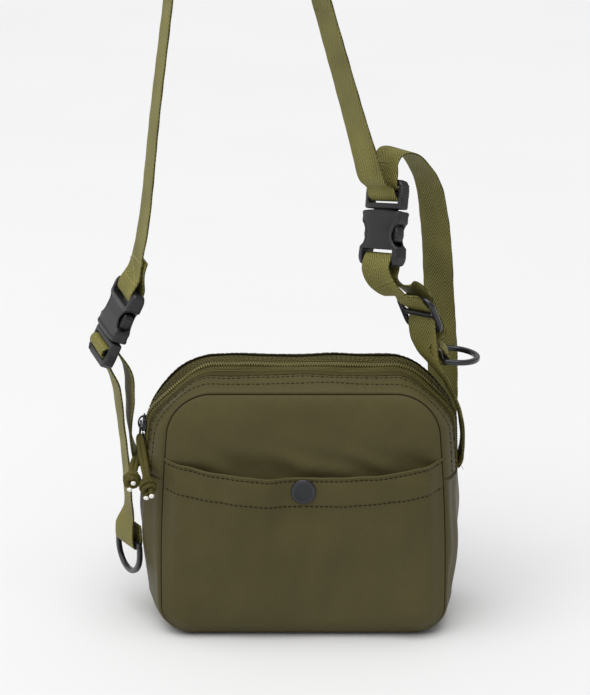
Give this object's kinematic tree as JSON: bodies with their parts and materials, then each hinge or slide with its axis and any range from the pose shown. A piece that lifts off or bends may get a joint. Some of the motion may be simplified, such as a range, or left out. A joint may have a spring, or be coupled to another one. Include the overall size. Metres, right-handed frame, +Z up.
{
  "type": "crossbody purse",
  "caption": "Boxy nylon crossbody purse with a top zip, a snapped front slip pocket, knotted cord pulls and a webbing shoulder strap joined by side-release buckles and D-rings.",
  "frame": {"origin": "centre of the flat base on the surface that the bag stands on", "axes": "+Z up, +X to the wearer-facing right of the front view, the snapped pocket faces -Y"},
  "size_m": [0.2486, 0.1096, 0.4906],
  "materials": {
    "nylon": "satin woven nylon, olive khaki",
    "lining_cloth": "plain woven polyester",
    "zip_tape": "fine knitted tape",
    "zip_coil": "moulded nylon coil",
    "webbing": "ribbed twill webbing with a soft sheen",
    "black_plastic": "fine-grained acetal",
    "dark_metal": "smooth black lacquer",
    "gunmetal": "satin blue-grey lacquer",
    "pull_cord": "braided cord with a pale core"
  },
  "bodies": {
    "bag": {"front_panel": "nylon", "back_panel": "nylon", "lower_gusset": "nylon", "zip_gusset_front": "nylon", "zip_gusset_back": "nylon", "zip_tape_front": "zip_tape", "zip_tape_back": "zip_tape", "zip_coil": "zip_coil", "lining": "lining_cloth", "snap_stud": "dark_metal", "snap_stud_post": "dark_metal", "left_adjust_strap": "webbing", "left_buckle_male": "black_plastic", "shoulder_strap": "webbing", "right_adjust_strap": "webbing", "right_buckle_female": "black_plastic"},
    "pocket": {"pocket_panel": "nylon", "snap_cap": "gunmetal", "snap_socket": "dark_metal"},
    "left_female": {"left_buckle_female": "black_plastic"},
    "left_latch_a": {"left_prong_a": "black_plastic"},
    "left_latch_b": {"left_prong_b": "black_plastic"},
    "right_male": {"right_buckle_male": "black_plastic"},
    "right_latch_a": {"right_prong_a": "black_plastic"},
    "right_latch_b": {"right_prong_b": "black_plastic"},
    "left_ring": {"left_dring": "dark_metal"},
    "right_ring": {"right_dring": "dark_metal"},
    "tri_glide": {"right_tri_glide": "dark_metal"},
    "upper_slider": {"zip_slider_upper": "dark_metal"},
    "upper_pull": {"pull_ring_upper": "dark_metal", "pull_cord_upper": "pull_cord"},
    "lower_slider": {"zip_slider_lower": "dark_metal"},
    "lower_pull": {"pull_ring_lower": "dark_metal", "pull_cord_lower": "pull_cord"}
  },
  "joints": [
    {"name": "pocket_mouth", "type": "hinge", "parent": "bag", "child": "pocket", "pos_m": [0, -0.0397, 0.005], "axis": [1, 0, 0], "range_deg": [0, 7], "stiffness_Nm_per_rad": 0.02},
    {"name": "left_buckle_release", "type": "slide", "parent": "bag", "child": "left_female", "axis": [0.4202, 0, 0.9074], "range_m": [0, 0.02], "deforming": ["shoulder_strap"]},
    {"name": "left_latch_a_squeeze", "type": "hinge", "parent": "bag", "child": "left_latch_a", "pos_m": [-0.12572, 0.01008, 0.19303], "axis": [0.8314, 0.4008, -0.385], "range_deg": [0, 8.5]},
    {"name": "left_latch_b_squeeze", "type": "hinge", "parent": "bag", "child": "left_latch_b", "pos_m": [-0.11772, -0.01008, 0.18933], "axis": [-0.8314, -0.4008, 0.385], "range_deg": [0, 8.5]},
    {"name": "right_buckle_release", "type": "slide", "parent": "bag", "child": "right_male", "axis": [0.0849, 0.2698, 0.9592], "range_m": [0, 0.02], "deforming": ["shoulder_strap"]},
    {"name": "right_latch_a_squeeze", "type": "hinge", "parent": "right_male", "child": "right_latch_a", "pos_m": [0.05865, -0.00815, 0.27294], "axis": [0.7461, 0.6208, -0.2407], "range_deg": [0, 8.5]},
    {"name": "right_latch_b_squeeze", "type": "hinge", "parent": "right_male", "child": "right_latch_b", "pos_m": [0.04412, 0.00804, 0.26967], "axis": [-0.7461, -0.6208, 0.2407], "range_deg": [0, 8.5]},
    {"name": "left_ring_swing", "type": "hinge", "parent": "bag", "child": "left_ring", "pos_m": [-0.113, 0, 0.052], "axis": [-0.5026, 0.8645, 0], "range_deg": [-12, 70]},
    {"name": "right_ring_swing", "type": "hinge", "parent": "bag", "child": "right_ring", "pos_m": [0.089, 0.001, 0.177], "axis": [0, 1, 0], "range_deg": [-55, 60]},
    {"name": "tri_glide_slide", "type": "slide", "parent": "bag", "child": "tri_glide", "axis": [-0.3604, -0.2002, 0.911], "range_m": [-0.004, 0.006], "deforming": ["right_adjust_strap"]},
    {"name": "upper_slider_travel", "type": "slide", "parent": "bag", "child": "upper_slider", "axis": [0.0434, 0, 0.9991], "range_m": [0, 0.004]},
    {"name": "upper_pull_swing", "type": "hinge", "parent": "upper_slider", "child": "upper_pull", "pos_m": [-0.10045, 0, 0.13116], "axis": [-0.0266, 0.79, -0.6125], "range_deg": [-1, 4]},
    {"name": "lower_slider_travel", "type": "slide", "parent": "bag", "child": "lower_slider", "axis": [0.0434, 0, 0.9991], "range_m": [-0.004, 0]},
    {"name": "lower_pull_swing", "type": "hinge", "parent": "lower_slider", "child": "lower_pull", "pos_m": [-0.10101, 0, 0.11826], "axis": [-0.0266, 0.79, -0.6125], "range_deg": [-2, 7], "deforming": ["left_adjust_strap"]}
  ],
  "couplings": [
    {"joint": "left_latch_a_squeeze", "follows": "left_buckle_release", "rad_per_m": 7.4},
    {"joint": "left_latch_b_squeeze", "follows": "left_buckle_release", "rad_per_m": 7.4},
    {"joint": "right_latch_a_squeeze", "follows": "right_buckle_release", "rad_per_m": 7.4},
    {"joint": "right_latch_b_squeeze", "follows": "right_buckle_release", "rad_per_m": 7.4}
  ]
}
